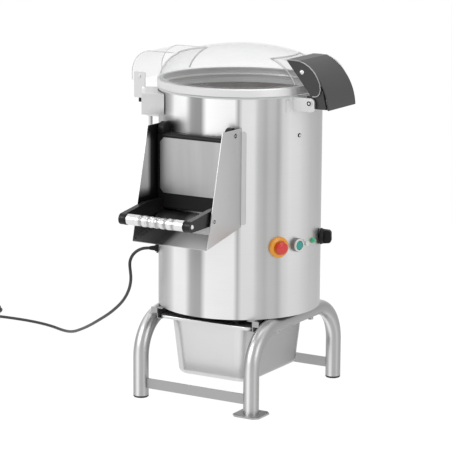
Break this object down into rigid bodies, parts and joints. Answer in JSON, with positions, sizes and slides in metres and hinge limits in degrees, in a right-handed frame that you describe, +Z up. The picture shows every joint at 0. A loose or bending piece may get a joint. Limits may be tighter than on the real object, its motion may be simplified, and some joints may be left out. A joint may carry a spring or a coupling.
{
  "type": "electric potato peeler",
  "caption": "Floor-standing drum potato peeler with a turning abrasive disc, clear hinged lid, front outlet door with a pull handle, and a slide-out peel pan.",
  "frame": {"origin": "middle of the machine's bounding box on the floor, without the free supply cord", "axes": "+Z up, -Y to the front where the chute and door are, +X to the operator's right where the lid hinge and the controls are"},
  "size_m": [1.341, 0.7527, 0.861],
  "materials": {
    "frame_steel": "satin ground tube",
    "drum_steel": "vertical brushed sheet",
    "bright_steel": "polished",
    "pan_steel": "bright satin",
    "plate_steel": "satin sheet",
    "zinc": "zinc plated",
    "black_rubber": "matte",
    "black_plastic": "fine grain",
    "hood_grey": "smooth satin",
    "clear_lid": "clear moulded plastic",
    "grip_alu": "polished",
    "estop_yellow": "glossy",
    "estop_red": "glossy",
    "button_teal": "glossy",
    "button_white": "glossy",
    "lamp_green": "clear green lens",
    "bezel_grey": "satin",
    "abrasive": "bonded grit",
    "motor_paint": "enamel",
    "cast_grey": "machined casting"
  },
  "bodies": {
    "machine": {"frame_arch_left": "frame_steel", "frame_arch_right": "frame_steel", "stretcher_front": "frame_steel", "stretcher_rear": "frame_steel", "rubber_feet": "black_rubber", "foot_plate": "plate_steel", "frame_bolts": "zinc", "drum_shell": "drum_steel", "drum_rim_seal": "black_rubber", "base_plate": "black_plastic", "deck_plate": "plate_steel", "abrasive_liner": "abrasive", "drain_spout": "plate_steel", "water_inlet": "bright_steel", "bearing_housing": "cast_grey", "shaft_bearings": "bright_steel", "shaft_seal": "black_rubber", "drive_belt": "black_rubber", "motor_body": "motor_paint", "motor_mount": "zinc", "pan_rail_right": "plate_steel", "pan_rail_left": "plate_steel", "chute_plate_right": "plate_steel", "chute_plate_left": "plate_steel", "chute_floor": "plate_steel", "chute_pins": "bright_steel", "hinge_brackets": "plate_steel", "hinge_pin": "bright_steel", "switch_box": "drum_steel", "switch_head": "black_plastic", "switch_conduit": "plate_steel", "estop_collar": "estop_yellow", "start_bezel": "bezel_grey", "green_lamp": "lamp_green", "cable_gland": "black_plastic", "supply_cord": "black_rubber", "cord_coil": "black_rubber", "cord_plug": "black_plastic"},
    "peeling_rotor": {"peeling_disc": "abrasive", "drive_shaft": "bright_steel", "driven_pulley": "cast_grey"},
    "motor_rotor": {"motor_pulley": "cast_grey", "motor_shaft": "bright_steel"},
    "lid": {"lid_shell": "clear_lid", "lid_rim": "drum_steel", "lid_hood": "hood_grey", "hood_screws": "bright_steel", "latch_plate": "plate_steel"},
    "door": {"door_body": "black_plastic", "door_plate": "drum_steel", "door_seal": "black_rubber", "handle_arms": "black_plastic", "handle_grip": "grip_alu", "grip_caps": "black_plastic", "grip_rod": "bright_steel"},
    "pan": {"gn_pan": "pan_steel"},
    "estop": {"estop_button": "estop_red"},
    "start": {"start_button": "button_teal"},
    "reset": {"reset_button": "button_white"},
    "knob": {"timer_knob": "black_plastic"}
  },
  "joints": [
    {"name": "disc_spin", "type": "hinge", "parent": "machine", "child": "peeling_rotor", "pos_m": [-0.00445, 0.08099, 0.47], "axis": [0, 0, 1], "continuous": true},
    {"name": "motor_spin", "type": "hinge", "parent": "machine", "child": "motor_rotor", "pos_m": [0.07055, 0.16099, 0.247], "axis": [0, 0, 1], "continuous": true},
    {"name": "lid_hinge", "type": "hinge", "parent": "machine", "child": "lid", "pos_m": [0.22755, 0.08099, 0.742], "axis": [0, 1, 0], "range_deg": [0, 90]},
    {"name": "door_swing", "type": "hinge", "parent": "machine", "child": "door", "pos_m": [-0.00445, -0.12201, 0.6705], "axis": [-1, 0, 0], "range_deg": [0, 65]},
    {"name": "pan_slide", "type": "slide", "parent": "machine", "child": "pan", "axis": [0, -1, 0], "range_m": [0, 0.3]},
    {"name": "estop_press", "type": "slide", "parent": "machine", "child": "estop", "axis": [-0.848, 0.5299, 0], "range_m": [0, 0.004]},
    {"name": "start_press", "type": "slide", "parent": "machine", "child": "start", "axis": [-0.9563, 0.2924, 0], "range_m": [0, 0.003], "stiffness_N_per_m": 400, "springref_m": -0.002},
    {"name": "reset_press", "type": "slide", "parent": "machine", "child": "reset", "axis": [-0.989, 0.1478, 0], "range_m": [0, 0.003], "stiffness_N_per_m": 400, "springref_m": -0.002},
    {"name": "timer_turn", "type": "hinge", "parent": "machine", "child": "knob", "pos_m": [0.18576, 0.1428, 0.394], "axis": [0.9511, 0.309, 0], "range_deg": [0, 270]}
  ],
  "couplings": [
    {"joint": "motor_spin", "follows": "disc_spin", "ratio": 3.75}
  ]
}
